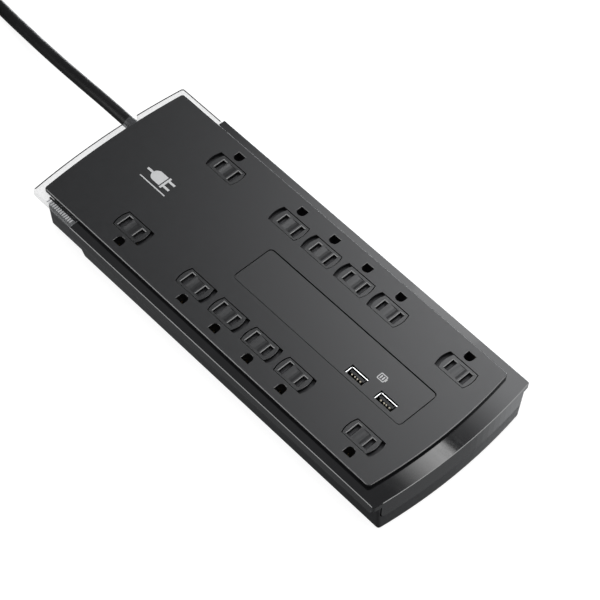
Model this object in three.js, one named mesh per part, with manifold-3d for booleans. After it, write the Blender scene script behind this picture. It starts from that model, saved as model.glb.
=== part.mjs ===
// A twelve-outlet surge-protected power strip with two USB charging ports, in millimetres.
// Frame: +X to the right-hand column of outlets, +Y to the cord end, +Z up.
// The origin is on the table, under the middle of the housing.
import * as THREE from 'three';
import { mergeVertices } from 'three/addons/utils/BufferGeometryUtils.js';
import Module from 'manifold-3d';

const wasm = await Module();
wasm.setup();

// ---------------------------------------------------------------- driving dimensions
const GAP = 0.3; // between pieces that rest on each other
const FACE_TOP = 33; // top of the face plate above the table
const FOOT = 0.8; // how far the feet hold the housing off the table

// Outlets: US pattern, blades 12.7 apart, ground 11.9 from the blades' line.
const PITCH = 29;
const GRID_Y = -15.5;
const ROWS = [3.5, 1.5, 0.5, -0.5, -1.5, -3.5].map((k) => GRID_Y + k * PITCH);
const SLOT_X = 36.7;
const GROUND_X = SLOT_X + 11.9;
const BLADE_OFF = 12.7 / 2;
const WIDE_SLOT = 9.5;
const NARROW_SLOT = 8;
const SLOT_W = 3;
const SLOT_CHAMFER = 0.45;

// The ground hole: half width on its flat and its round side, and half height.
const GROUND = { flat: 3.3, round: 2.8, tall: 3.1, chamfer: 0.2 };

// Sliding shutters in their windows.
const TRAVEL = 2.8;
const WINDOW_R = 17.5; // radius of the bowed ends
const WINDOW_SHIFT = 4.55; // how far the centre of each end's arc lies beyond the middle
const WINDOW_HALF = 6.9;
const SHUTTER_TOP = FACE_TOP - 0.25;
const SHUTTER_T = 2.45;
const SHUTTER_GAP = 0.45; // all round, and 0.15 more at the closed end

// Outlines, seen from above: half width, then the middle and the corners of each bowed end.
const PLATE = { half: 57.3, front: -145.5, frontCorner: -140.9, rear: 151.3, rearCorner: 148.4, corner: 2 };
const BEZEL = { half: 64.1, front: -157.5, frontCorner: -152.5, rear: 160, rearCorner: 160, corner: 1.5 };
const LENS = { half: 62, front: 100, frontCorner: 100, rear: 157.5, rearCorner: 153.9, corner: 1.2 };
const BASE = { half: 61.2, front: -157.2, frontCorner: -152.7, rear: 144.5, rearCorner: 141.5, corner: 2 };
const PLATE_T = 2.7;
const BEZEL_TOP = FACE_TOP - 3;
const BEZEL_REAR = 116;
const LIP_BOTTOM = BEZEL_TOP - 4.4;
const SIDE_BOTTOM = BEZEL_TOP - 7.5;
const SKIRT_BOTTOM = BEZEL_TOP - 16;
const SKIRT_HALF = 58;
const FLANGE_T = 2.2;
const LENS_TOP = FACE_TOP - 3.3;
const LENS_T = 4.7;
const WALL = 2.2;
const FLOOR_T = 2;
const BASE_FOOT_HALF = 58.6; // half width at the foot of the tapered side walls
const BASE_TOP = BEZEL_TOP - FLANGE_T - GAP;
const REAR_STEP_Y = 109.5; // behind this the underside is raised, to clear the cord
const REAR_RAISE = 6;

// Middle panel and charging ports.
const PANEL = { x0: -15.5, x1: 15.5, y0: -123.3, y1: 19.7, corner: 2.5, top: FACE_TOP - 0.3, t: 0.85 };
const USB_X = -9.4;
const USB_Y = [-81.8, -106.3];
const USB_HOLE = [6.8, 14.4];
const USB_SHELL = [5.9, 13.6];
const USB_WALL = 0.35;
const USB_LIP = 0.28; // height of the flared mouth
const USB_TOP = PANEL.top - PANEL.t - GAP;

// Moulded socket carriers, contact strips and boards.
const CARRIER = { x0: 29.9, x1: 53.6, y0: -131.15, y1: 100.2, z0: 18, z1: SHUTTER_TOP - SHUTTER_T - GAP };
const STRIP_Z = [16.4, 17.4];
const USB_BOARD_Z = 12.1;
const SURGE_BOARD_Z = 10.5;
const BOARD_T = 1.6;

// Cord: its diameter, where it leaves the rear wall, and its route over the table.
const CORD_D = 8.4;
const CORD_X = 19.9;
const CORD_Z = FACE_TOP - 7.5;
const RELIEF_END = 159;
const LEAD_ROUTE = [
  [19.9, 159.4, 25.5], [20.0, 170, 25.3], [20.3, 183, 24.7], [20.8, 197, 23.2], [21.5, 210, 21.5],
  [22.4, 224, 19.4], [23.6, 239, 17.1], [25.0, 253, 14.6], [26.6, 267, 12.1], [28.2, 281, 9.6],
  [29.8, 295, 7.3], [31.2, 306, 5.8], [32.0, 313, 5.1],
];
const COIL = { x: -23, y: 352, inner: 32.1, outer: 63.3, height: 17.2, tie: 215 };
const TAIL_ROUTE = [[-56, 411, 12.8], [-62, 411, 12.8], [-69, 411, 12.7], [-76, 411, 12.6]];
const PLUG = { x: -76.3, y: 411, z: 12.6, length: 33 };

// Cradle and fixings.
const SCREWS = [[-40, -135.5], [40, -135.5], [-25.3, -20], [25.3, -20], [-42, 132], [42, 132]];
const FEET = [[-44, -118], [44, -118], [-44, 82], [44, 82]];
const KEYHOLES = [[0, -98], [0, 72]];
const SWITCH = { x: -22, y: 143.5, z: 15.6 };

// ---------------------------------------------------------------- geometry helpers
function solid(geometry) {
  const bare = geometry.clone();
  bare.deleteAttribute('normal');
  bare.deleteAttribute('uv');
  const merged = mergeVertices(bare, 1e-4);
  return new wasm.Manifold(new wasm.Mesh({
    numProp: 3,
    vertProperties: Float32Array.from(merged.attributes.position.array),
    triVerts: Uint32Array.from(merged.index.array),
  }));
}

function geometryOf(body) {
  const mesh = body.getMesh();
  const geometry = new THREE.BufferGeometry();
  geometry.setAttribute('position', new THREE.BufferAttribute(mesh.vertProperties, 3));
  geometry.setIndex(new THREE.BufferAttribute(mesh.triVerts, 1));
  geometry.computeVertexNormals();
  return geometry;
}

function box(x0, x1, y0, y1, z0, z1) {
  const geometry = new THREE.BoxGeometry(x1 - x0, y1 - y0, z1 - z0);
  return solid(geometry.translate((x0 + x1) / 2, (y0 + y1) / 2, (z0 + z1) / 2));
}

function rod(radius, z0, z1, x = 0, y = 0, sides = 20) {
  const geometry = new THREE.CylinderGeometry(radius, radius, z1 - z0, sides);
  return solid(geometry.rotateX(Math.PI / 2).translate(x, y, (z0 + z1) / 2));
}

function prism(points, z0, z1) {
  const shape = new THREE.Shape(points);
  const geometry = new THREE.ExtrudeGeometry(shape, { depth: z1 - z0, bevelEnabled: false });
  return solid(geometry.translate(0, 0, z0));
}

// A prism drawn on the YZ plane and run along X.
function prismX(points, x0, x1) {
  const shape = new THREE.Shape(points);
  const geometry = new THREE.ExtrudeGeometry(shape, { depth: x1 - x0, bevelEnabled: false });
  return solid(geometry.rotateX(Math.PI / 2).rotateZ(Math.PI / 2).translate(x0, 0, 0));
}

// A prism drawn on the XZ plane and run along Y.
function prismY(points, y0, y1) {
  const shape = new THREE.Shape(points);
  const geometry = new THREE.ExtrudeGeometry(shape, { depth: y1 - y0, bevelEnabled: false });
  return solid(geometry.rotateX(Math.PI / 2).translate(0, y1, 0));
}

// A block whose top is wider than its foot by flare all round.
function flared(x, y, w, l, z0, z1, flare) {
  const geometry = new THREE.BoxGeometry(w, l, z1 - z0);
  const at = geometry.attributes.position;
  for (let i = 0; i < at.count; i++) {
    if (at.getZ(i) > 0) {
      at.setX(i, at.getX(i) + Math.sign(at.getX(i)) * flare);
      at.setY(i, at.getY(i) + Math.sign(at.getY(i)) * flare);
    }
  }
  return solid(geometry.translate(x, y, (z0 + z1) / 2));
}

const join = (bodies) => bodies.reduce((sum, body) => sum.add(body));
const cut = (body, tools) => tools.reduce((rest, tool) => rest.subtract(tool), body);

// Height of a shallow arc through (0, mid) and (half, end), at x.
function arcAt(x, half, mid, end) {
  const rise = mid - end;
  if (rise === 0) return mid;
  const radius = (half * half + rise * rise) / (2 * Math.abs(rise));
  return mid - Math.sign(rise) * (radius - Math.sqrt(radius * radius - x * x));
}

// An outline with straight sides and bowed ends, counter-clockwise.
function bowed(o, steps = 20) {
  const points = [];
  const reach = o.half - o.corner;
  const bend = (from, at, to) => {
    const curve = new THREE.QuadraticBezierCurve(from, at, to);
    points.push(...curve.getPoints(4).slice(1, -1));
  };
  for (const [mid, end, way] of [[o.front, o.frontCorner, 1], [o.rear, o.rearCorner, -1]]) {
    for (let i = 0; i <= steps; i++) {
      const x = way * reach * ((2 * i) / steps - 1);
      points.push(new THREE.Vector2(x, arcAt(x, o.half, mid, end)));
    }
    const last = points[points.length - 1];
    const side = new THREE.Vector2(way * o.half, end + way * o.corner);
    bend(last, new THREE.Vector2(way * o.half, end), side);
    points.push(side);
    const other = way > 0 ? o.rearCorner : o.frontCorner;
    const otherMid = way > 0 ? o.rear : o.front;
    const start = new THREE.Vector2(way * o.half, other - way * o.corner);
    points.push(start);
    const next = new THREE.Vector2(way * reach, arcAt(reach, o.half, otherMid, other));
    bend(start, new THREE.Vector2(way * o.half, other), next);
  }
  return points;
}

function roundedRect(x0, x1, y0, y1, r, steps = 4) {
  const points = [];
  const corners = [[x1 - r, y0 + r, -90], [x1 - r, y1 - r, 0], [x0 + r, y1 - r, 90], [x0 + r, y0 + r, 180]];
  for (const [x, y, start] of corners) {
    for (let i = 0; i <= steps; i++) {
      const a = THREE.MathUtils.degToRad(start + (90 * i) / steps);
      points.push(new THREE.Vector2(x + r * Math.cos(a), y + r * Math.sin(a)));
    }
  }
  return points;
}

// A straight-sided outline with round ends, each end an arc about (0, -/+shift).
function capsule(half, radius, shift, steps = 8) {
  const points = [];
  const limit = Math.asin(half / radius);
  for (const way of [-1, 1]) {
    for (let i = 0; i <= steps; i++) {
      const a = limit * ((2 * i) / steps - 1);
      points.push(new THREE.Vector2(-way * radius * Math.sin(a), way * (radius * Math.cos(a) - shift)));
    }
  }
  return points;
}

// The ground hole: flat on the outer side, round towards the blades.
function groundOutline(side, y, grow) {
  const tall = GROUND.tall + grow;
  const points = [-tall, tall].map((dy) => new THREE.Vector2(GROUND.flat + grow, dy));
  for (let i = 0; i <= 8; i++) {
    const a = Math.PI / 2 + (Math.PI * i) / 8;
    points.push(new THREE.Vector2((GROUND.round + grow) * Math.cos(a), tall * Math.sin(a)));
  }
  points.forEach((p) => p.set(side * (GROUND_X + p.x), y + p.y));
  return side > 0 ? points : points.reverse();
}

// Cuts a hole with this outline and a chamfered rim down from top.
function rimmedHole(outline, top, chamfer) {
  const rim = { depth: 10, bevelThickness: chamfer, bevelSize: chamfer, bevelSegments: 1 };
  const mouth = solid(new THREE.ExtrudeGeometry(new THREE.Shape(outline), rim).translate(0, 0, top));
  return prism(outline, 10, 60).add(mouth);
}

// ---------------------------------------------------------------- model and materials
const model = new THREE.Group();
const finish = (color, roughness, metalness = 0, extra = {}) => (
  new THREE.MeshStandardMaterial({ color, roughness, metalness, ...extra }));
const MATERIALS = {
  face: finish(0x333437, 0.62),
  gloss: finish(0x131416, 0.12),
  housing: finish(0x262729, 0.5),
  clear: finish(0xeef2f4, 0.08, 0, { transparent: true, opacity: 0.45 }),
  carrier: finish(0x1b1b1c, 0.6),
  brass: finish(0xb08d4a, 0.35, 1),
  steel: finish(0xb9bcc0, 0.25, 1),
  board: finish(0x1f5a34, 0.5),
  varistor: finish(0x2a62a8, 0.45),
  capacitor: finish(0xc7b04a, 0.45),
  ferrite: finish(0x3a3f3d, 0.7),
  fuse: finish(0xd8d4c8, 0.5),
  led: finish(0x9fe0a8, 0.1, 0, { transparent: true, opacity: 0.7 }),
  rubber: finish(0x17171a, 0.75),
  tongue: finish(0x0f0f10, 0.5),
};

function put(name, body, material, x = 0, y = 0, z = 0) {
  const mesh = new THREE.Mesh(body.isBufferGeometry ? body : geometryOf(body), MATERIALS[material]);
  mesh.name = name;
  mesh.position.set(x, y, z);
  model.add(mesh);
  return mesh;
}

// ---------------------------------------------------------------- shells
const windowCentre = (side) => -side * TRAVEL / 2;

function makeFacePlate() {
  const chamfer = 0.42;
  const shape = new THREE.Shape(bowed(PLATE));
  const rim = { depth: 6, bevelThickness: chamfer, bevelSize: chamfer, bevelOffset: -chamfer };
  const blank = new THREE.ExtrudeGeometry(shape, { ...rim, bevelSegments: 1 });
  let plate = solid(blank.translate(0, 0, FACE_TOP - chamfer - 6));
  plate = plate.intersect(box(-80, 80, -180, 180, FACE_TOP - PLATE_T, FACE_TOP));
  const tools = [];
  for (const side of [-1, 1]) {
    for (const y of ROWS) {
      const window = prism(capsule(WINDOW_HALF, WINDOW_R, WINDOW_SHIFT), 20, 40);
      tools.push(window.translate([side * SLOT_X, y + windowCentre(side), 0]));
      tools.push(rimmedHole(groundOutline(side, y, 0), FACE_TOP, GROUND.chamfer));
    }
  }
  const p = PANEL;
  const [near, far] = [0.5, 0.75]; // the panel sits towards the rear left of its recess
  const recess = roundedRect(p.x0 - near, p.x1 + far, p.y0 - far, p.y1 + near, p.corner + near);
  tools.push(prism(recess, PANEL.top - PANEL.t - GAP, 40));
  for (const y of USB_Y) tools.push(boxAt(USB_X, y, USB_HOLE[0] + 1, USB_HOLE[1] + 1, 20, 40));
  plate = cut(plate, tools);
  const bossTop = FACE_TOP - PLATE_T + 0.2;
  for (const [x, y] of SCREWS) {
    plate = plate.add(rod(3.5, 22.3, bossTop, x, y)).subtract(rod(1.8, 20, bossTop + 0.8, x, y, 14));
  }
  put('face_plate', plate, 'face');
}

function boxAt(x, y, w, l, z0, z1) {
  return box(x - w / 2, x + w / 2, y - l / 2, y + l / 2, z0, z1);
}

function makeLabelPanel() {
  const outline = roundedRect(PANEL.x0, PANEL.x1, PANEL.y0, PANEL.y1, PANEL.corner);
  const sheet = prism(outline, PANEL.top - PANEL.t, PANEL.top);
  const holes = USB_Y.map((y) => boxAt(USB_X, y, ...USB_HOLE, 20, 40));
  put('label_panel', cut(sheet, holes), 'face');
}

const skirtWindow = (grow) => roundedRect(-SKIRT_HALF - grow, SKIRT_HALF + grow, SKIRT_BOTTOM - grow, 60, 4);

function makeBezelFrame() {
  const outline = bowed(BEZEL, 24);
  const inside = bowed({ ...BEZEL, half: 61.5, front: -155.4, frontCorner: -150.6 }, 24);
  const opening = bowed({ ...BEZEL, half: 54, front: -141.5, frontCorner: -138, corner: 3 });
  const frontOnly = box(-90, 90, -190, -150, 0, 60);
  const wall = (z0) => prism(outline, z0, BEZEL_TOP).subtract(prism(inside, z0 - 1, BEZEL_TOP + 1));
  const flange = prism(outline, BEZEL_TOP - FLANGE_T, BEZEL_TOP);
  const sides = wall(SIDE_BOTTOM).intersect(box(-90, 90, -150, 190, 0, 60));
  const lip = wall(LIP_BOTTOM).intersect(frontOnly);
  const skirt = wall(SKIRT_BOTTOM).intersect(frontOnly).intersect(prismY(skirtWindow(0), -190, -120));
  const chamfer = 0.34;
  const rim = { depth: 60, bevelThickness: chamfer, bevelSize: chamfer, bevelOffset: -chamfer };
  const blank = new THREE.ExtrudeGeometry(new THREE.Shape(outline), { ...rim, bevelSegments: 1 });
  const limit = solid(blank.translate(0, 0, BEZEL_TOP - 60 - chamfer));
  const frame = join([flange, sides, lip, skirt]).intersect(limit);
  put('bezel_frame', cut(frame, [prism(opening, 0, 60), box(-90, 90, BEZEL_REAR, 190, 0, 60)]), 'gloss');
}

// The clear end piece that carries light from the two lamps to the rear edge.
function makeIndicatorLens() {
  const z0 = LENS_TOP - LENS_T;
  const slab = prism(bowed(LENS, 24), z0, LENS_TOP);
  const opening = prism(bowed({ ...LENS, half: 55, rear: 144, rearCorner: 141, corner: 3 }), 0, 60);
  const saddle = box(CORD_X - 8.5, CORD_X + 8.5, 145.2, 156.4, z0 - 6.7, z0 + 0.2);
  const radius = 5.2;
  const channel = rod(radius, -80, 80, 0, 0, 24).rotate([90, 0, 0]).translate([CORD_X, 150, CORD_Z]);
  const slot = box(CORD_X - radius, CORD_X + radius, 120, 190, CORD_Z, 60);
  const lens = slab.subtract(opening).subtract(box(-90, 90, 0, BEZEL_REAR + GAP, 0, 60)).add(saddle);
  put('indicator_lens', cut(lens, [channel, slot]), 'clear');
}

// Side walls lean in towards the foot.
function lean(geometry) {
  const at = geometry.attributes.position;
  for (let i = 0; i < at.count; i++) {
    const down = (BASE_TOP - at.getZ(i)) / (BASE_TOP - FOOT);
    at.setX(i, at.getX(i) * (1 - down * (1 - BASE_FOOT_HALF / BASE.half)));
  }
  return geometry;
}

function makeLowerHousing() {
  const round = 1;
  const form = { depth: 40, bevelThickness: round, bevelSize: round, bevelOffset: -round, bevelSegments: 3 };
  const blank = new THREE.ExtrudeGeometry(new THREE.Shape(bowed(BASE, 24)), form);
  let shell = solid(lean(blank.translate(0, 0, FOOT + round)));
  shell = shell.intersect(box(-90, 90, -190, 190, 0, BASE_TOP));
  const hollow = { ...BASE, half: BASE.half - WALL, front: -153, frontCorner: -148.6, rear: BASE.rear - WALL,
    rearCorner: BASE.rearCorner - WALL };
  const cavity = (z0) => {
    const form2 = { depth: 60, bevelEnabled: false };
    const inside = new THREE.ExtrudeGeometry(new THREE.Shape(bowed(hollow)), form2);
    return solid(lean(inside.translate(0, 0, z0)));
  };
  const floor = FOOT + FLOOR_T;
  const raised = floor + REAR_RAISE;
  const front = REAR_STEP_Y - WALL;
  const step = [[REAR_STEP_Y, -5], [REAR_STEP_Y, FOOT], [REAR_STEP_Y + 2.8, FOOT + REAR_RAISE],
    [190, FOOT + REAR_RAISE], [190, -5]];
  shell = cut(shell, [
    cavity(floor).intersect(box(-90, 90, -190, front, 0, 90)),
    cavity(raised),
    prismX(step.map(([y, z]) => new THREE.Vector2(y, z)), -90, 90),
    box(-90, 90, BEZEL_REAR - 1, 190, LENS_TOP - LENS_T - GAP, 60), // seat of the clear end piece
  ]);
  // The bezel's skirt lies flush in the front wall; above its ends the wall stops under the lip.
  const ahead = bowed({ ...BASE, half: 70, front: -155.1, frontCorner: -148.7 }, 24);
  const behind = box(-90, 90, -190, -150, 0, 60).subtract(prism(ahead, -5, 70));
  shell = cut(shell, [
    behind.intersect(prismY(skirtWindow(0.6), -190, -120)),
    box(-90, 90, -190, -149.6, LIP_BOTTOM - GAP, 60).subtract(prism(ahead, -5, 70)),
  ]);
  const level = (y) => (y > front ? raised : floor);
  const posts = [];
  for (const side of [-1, 1]) {
    const foot = floor - 0.5;
    for (const y of [-88, GRID_Y, 57]) {
      posts.push(box(side * 44 - 1.2, side * 44 + 1.2, y - 5, y + 5, foot, CARRIER.z0 - GAP));
    }
    for (const y of [-114, -72]) posts.push(rod(2, foot, USB_BOARD_Z - GAP, side * 11, y, 12));
    for (const y of [42, 84]) posts.push(rod(2, foot, SURGE_BOARD_Z - GAP, side * 18, y, 12));
    posts.push(rod(2, raised - 0.5, SURGE_BOARD_Z - GAP, side * 34, 114, 12));
  }
  for (const [x, y] of SCREWS) posts.push(rod(4, level(y) - 0.5, 22, x, y));
  shell = join([shell, ...posts]);
  const holes = [];
  for (const [x, y] of SCREWS) {
    const under = level(y) - FLOOR_T;
    holes.push(rod(1.8, under - 1, 24, x, y, 14), rod(3.4, under - 1, under + 2.6, x, y));
  }
  for (const [x, y] of FEET) holes.push(rod(5.3, 0, FOOT + 0.9, x, y));
  for (const [x, y] of KEYHOLES) {
    holes.push(rod(4.2, 0, 8, x, y, 20), boxAt(x, y + 5.5, 4.4, 6.5, 0, 8), rod(2.2, 0, 8, x, y + 8.6, 12));
  }
  holes.push(box(SWITCH.x - 9.9, SWITCH.x + 9.9, 130, 160, SWITCH.z - 6.5, SWITCH.z + 6.5));
  holes.push(rod(5.1, -20, 20, 0, 0, 24).rotate([90, 0, 0]).translate([CORD_X, 146, CORD_Z]));
  put('lower_housing', cut(shell, holes), 'housing');
}

// ---------------------------------------------------------------- outlets
function makeShutters() {
  const half = WINDOW_HALF - SHUTTER_GAP;
  const foot = SHUTTER_TOP - SHUTTER_T;
  for (const side of [-1, 1]) {
    const edge = 0.06;
    const depth = SHUTTER_T - edge;
    const rim = { depth, bevelThickness: edge, bevelSize: edge, bevelOffset: -edge, bevelSegments: 1 };
    const shape = new THREE.Shape(capsule(half, WINDOW_R - SHUTTER_GAP, WINDOW_SHIFT + TRAVEL / 2));
    const blank = solid(new THREE.ExtrudeGeometry(shape, rim).translate(0, side * 0.15, foot));
    const scoop = rod(16, -4.6, 4.6, 0, 0, 56).rotate([0, 90, 0]).translate([0, 0, SHUTTER_TOP + 15.62]);
    const rear = side < 0 ? WIDE_SLOT : NARROW_SLOT;
    const front = side < 0 ? NARROW_SLOT : WIDE_SLOT;
    const tools = [box(-30, 30, -30, 30, foot - 5, foot), scoop];
    for (const [y, w] of [[BLADE_OFF, rear], [-BLADE_OFF, front]]) {
      tools.push(boxAt(0, y, w, SLOT_W, 20, 40));
      const z0 = SHUTTER_TOP - SLOT_CHAMFER;
      tools.push(flared(0, y, w, SLOT_W, z0, SHUTTER_TOP + 0.1, SLOT_CHAMFER + 0.1));
    }
    const shutter = geometryOf(cut(blank, tools));
    ROWS.forEach((y, i) => {
      const name = `shutter_${side < 0 ? 'left' : 'right'}_${i + 1}`;
      put(name, shutter, 'face', side * SLOT_X, y - side * TRAVEL);
    });
  }
}

function makeSocketCarrier(side) {
  const c = CARRIER;
  const [x0, x1] = side < 0 ? [-c.x1, -c.x0] : [c.x0, c.x1];
  const tools = [];
  for (const y of ROWS) {
    for (const way of [-1, 1]) tools.push(boxAt(side * SLOT_X, y + way * BLADE_OFF, 9.6, 3, 0, 60));
    tools.push(prism(groundOutline(side, y, 0.3), 0, 60));
  }
  const block = cut(box(x0, x1, c.y0, c.y1, c.z0, c.z1), tools);
  put(`socket_carrier_${side < 0 ? 'left' : 'right'}`, block, 'carrier');
}

// A strip with a pair of spring leaves standing in each slot above it.
function makeContactBus(name, side, strip, wayOf) {
  const [low, high] = STRIP_Z;
  const span = (x0, x1, ...rest) => (side < 0 ? box(-x1, -x0, ...rest) : box(x0, x1, ...rest));
  const pieces = [span(strip[0], strip[1], ROWS[5] - 10, ROWS[0] + 11, low, high)];
  for (const y of ROWS) {
    const at = y + wayOf * BLADE_OFF;
    for (const leaf of [-0.9, 0.9]) {
      const y0 = at + leaf - 0.25;
      pieces.push(span(strip[0] + 0.1, strip[1] - 0.1, y0, y0 + 0.5, high - 0.3, high + 1.5));
      pieces.push(span(SLOT_X - 3.8, SLOT_X + 3.8, y0, y0 + 0.5, high + 1.2, 26.5));
    }
  }
  put(name, join(pieces), 'brass');
}

function makeGroundBus(side) {
  const [low, high] = STRIP_Z;
  const pieces = [boxAt(side * GROUND_X, (ROWS[0] + ROWS[5]) / 2, 3.2, ROWS[0] - ROWS[5] + 14, low, high)];
  for (const y of ROWS) {
    pieces.push(boxAt(side * GROUND_X, y, 4.6, 5.2, low, high));
    for (const leaf of [-2.3, 2.3]) pieces.push(boxAt(side * GROUND_X, y + leaf, 2.9, 0.5, low, 26));
  }
  put(`ground_bus_${side < 0 ? 'left' : 'right'}`, join(pieces), 'brass');
}

// ---------------------------------------------------------------- charging ports, boards and parts on them
function makeUsbPorts() {
  const foot = USB_BOARD_Z + BOARD_T + GAP;
  const [w, l] = USB_SHELL;
  USB_Y.forEach((y, i) => {
    const [w1, l1] = [w - 2 * USB_WALL, l - 2 * USB_WALL];
    const low = USB_TOP - USB_LIP;
    const outside = boxAt(USB_X, y, w, l, foot, USB_TOP);
    const inside = boxAt(USB_X, y, w1, l1, 0, 60).add(flared(USB_X, y, w1, l1, low, USB_TOP + 0.1, USB_LIP + 0.1));
    put(`usb_shell_${i + 1}`, outside.subtract(inside), 'steel');
    const tongue = boxAt(USB_X + 0.8, y, 1.84, 11.1, foot, USB_TOP - 0.8);
    put(`usb_tongue_${i + 1}`, tongue, 'tongue');
  });
  put('usb_board', box(-14, 14, -119, -67, USB_BOARD_Z, USB_BOARD_Z + BOARD_T), 'board');
}

function makeSurgeBoard() {
  const top = SURGE_BOARD_Z + BOARD_T;
  const board = box(-22, 22, 35, 104.5, SURGE_BOARD_Z, top).add(box(-50, 50, 104, 124, SURGE_BOARD_Z, top));
  put('surge_board', board, 'board');
  const foot = top + GAP;
  [50, 64, 78].forEach((y, i) => {
    const disc = rod(7.5, -2.3, 2.3, 0, 0, 24).rotate([90, 0, 0]).translate([0, y, foot + 8.5]);
    const legs = [-3.75, 3.75].map((x) => boxAt(x, y, 0.7, 0.7, foot, foot + 5));
    put(`varistor_${i + 1}`, join([disc, ...legs]), 'varistor');
  });
  put('filter_capacitor', box(2, 20, 108, 117, foot, foot + 14), 'capacitor');
  const ring = new THREE.TorusGeometry(7, 3, 10, 24).translate(-12, 113, foot + 3);
  put('filter_choke', ring, 'ferrite');
  put('thermal_fuse', rod(2, -6, 6, 0, 0, 16).rotate([0, 90, 0]).translate([0, 93, foot + 2]), 'fuse');
  [-47, 47].forEach((x, i) => {
    const profile = [[0, 20], [2.5, 20], [2.5, 21], [2.1, 21], [2.1, 24.5], [1.7, 25.9], [0.9, 26.6], [0, 26.8]];
    const dome = lathe(profile, 14).rotateX(Math.PI / 2);
    const legs = [-1.27, 1.27].map((dx) => boxAt(x + dx, 118, 0.5, 0.5, foot, 20.5));
    put(`indicator_led_${i + 1}`, join([solid(dome).translate([x, 118, 0]), ...legs]), 'led');
  });
}

// ---------------------------------------------------------------- mains switch beside the cord
function makeSwitch() {
  const s = SWITCH;
  const flange = prismY(roundedRect(s.x - 11.2, s.x + 11.2, s.z - 7.7, s.z + 7.7, 1.5), 144.7, 146.3);
  const body = box(s.x - 9.6, s.x + 9.6, 129, 145, s.z - 6.2, s.z + 6.2);
  const pocket = box(s.x - 8.3, s.x + 8.3, 137, 160, s.z - 4.9, s.z + 4.9);
  put('switch_housing', flange.add(body).subtract(pocket), 'carrier');
  const profile = [[-7.3, 3.1], [-7.4, -0.5]];
  for (let i = 1; i < 8; i++) {
    const a = Math.PI + (Math.PI * i) / 8;
    profile.push([7.4 * Math.cos(a), -0.5 + 4.6 * Math.sin(a)]);
  }
  profile.push([7.4, -0.5], [7.3, 3.1], [3.6, 1.8], [0, 1.35], [-3.6, 1.8]);
  const shape = new THREE.Shape(profile.map(([x, y]) => new THREE.Vector2(x, y)));
  const rocker = new THREE.ExtrudeGeometry(shape, { depth: 9, bevelEnabled: false }).translate(0, 0, -4.5);
  const mesh = put('switch_rocker', rocker, 'gloss', s.x, s.y, s.z);
  mesh.rotation.z = THREE.MathUtils.degToRad(-11);
}

// ---------------------------------------------------------------- cord, coil and plug
function lathe(profile, segments = 24) {
  return new THREE.LatheGeometry(profile.map(([r, y]) => new THREE.Vector2(r, y)), segments);
}

function makeStrainRelief() {
  const profile = [[0, 138.6], [6.8, 138.6], [6.8, 141.4], [4.7, 141.4], [4.7, 150],
    [4.6, RELIEF_END], [0, RELIEF_END]];
  const boot = solid(lathe(profile)).translate([CORD_X, 0, CORD_Z]);
  const flat = box(0, 60, 130, 152.5, FACE_TOP - PLATE_T - GAP, 60);
  put('strain_relief', boot.subtract(flat), 'rubber');
}

function tube(route, steps) {
  const path = new THREE.CatmullRomCurve3(route.map((p) => new THREE.Vector3(...p)));
  const ring = new THREE.Shape();
  ring.absarc(0, 0, CORD_D / 2, 0, 2 * Math.PI);
  return new THREE.ExtrudeGeometry(ring, { steps, extrudePath: path, curveSegments: 10 });
}

function makeCord() {
  put('cord_lead', tube(LEAD_ROUTE, 14), 'rubber');
  const c = COIL;
  const edge = 2;
  const profile = [[c.inner, edge], [c.inner + edge, 0.05], [c.outer - edge, 0.05], [c.outer, edge],
    [c.outer, c.height - edge], [c.outer - edge, c.height], [c.inner + edge, c.height],
    [c.inner, c.height - edge], [c.inner, edge]];
  const middle = (c.inner + c.outer) / 2;
  const wide = c.outer - c.inner + 2.4;
  const turn = [0, 0, c.tie];
  const underTie = boxAt(middle, 0, wide + 4, 12.8, -1, 1.5).rotate(turn);
  const ring = solid(lathe(profile, 40).rotateX(Math.PI / 2)).subtract(underTie);
  put('cord_coil', ring, 'rubber', c.x, c.y, 0);
  put('cord_tail', tube(TAIL_ROUTE, 4), 'rubber');
  const strap = boxAt(middle, 0, wide + 2.4, 12, 0.1, c.height + 1.6);
  const inside = boxAt(middle, 0, wide, 14, 1.2, c.height + 0.4);
  put('cord_tie', strap.subtract(inside).rotate(turn), 'rubber', c.x, c.y, 0);
}

// A grounded plug that lies with its blades to -X, ground pin uppermost.
function makePlug() {
  const p = PLUG;
  const round = 2;
  const outline = new THREE.Shape(roundedRect(-13, 13, -12.4, 12.4, 5, 4));
  const form = { depth: 17, bevelThickness: round, bevelSize: round, bevelOffset: -round, bevelSegments: 2 };
  const block = solid(new THREE.ExtrudeGeometry(outline, form).translate(0, 0, round - p.length));
  const neck = solid(lathe([[0, -14], [8.6, -14], [6.6, -9], [5.4, 0], [0, 0]], 20).rotateX(Math.PI / 2));
  // Both are drawn with the cord's way out along +Z, then turned so that it faces +X.
  put('plug_body', block.add(neck).rotate([90, 0, 90]), 'rubber', p.x, p.y, p.z);
  const face = p.x - p.length - GAP;
  for (const [name, y] of [['plug_blade_line', -BLADE_OFF], ['plug_blade_neutral', BLADE_OFF]]) {
    put(name, box(face - 16, face, p.y + y - 0.75, p.y + y + 0.75, p.z - 7.5, p.z - 1.3), 'brass');
  }
  const pin = new THREE.CapsuleGeometry(2.35, 20, 4, 14).rotateZ(Math.PI / 2);
  const cropped = solid(pin.translate(face - 7, p.y, p.z + 7.6)).intersect(box(face - 60, face, 300, 500, 0, 60));
  put('plug_ground_pin', cropped, 'brass');
}

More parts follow.
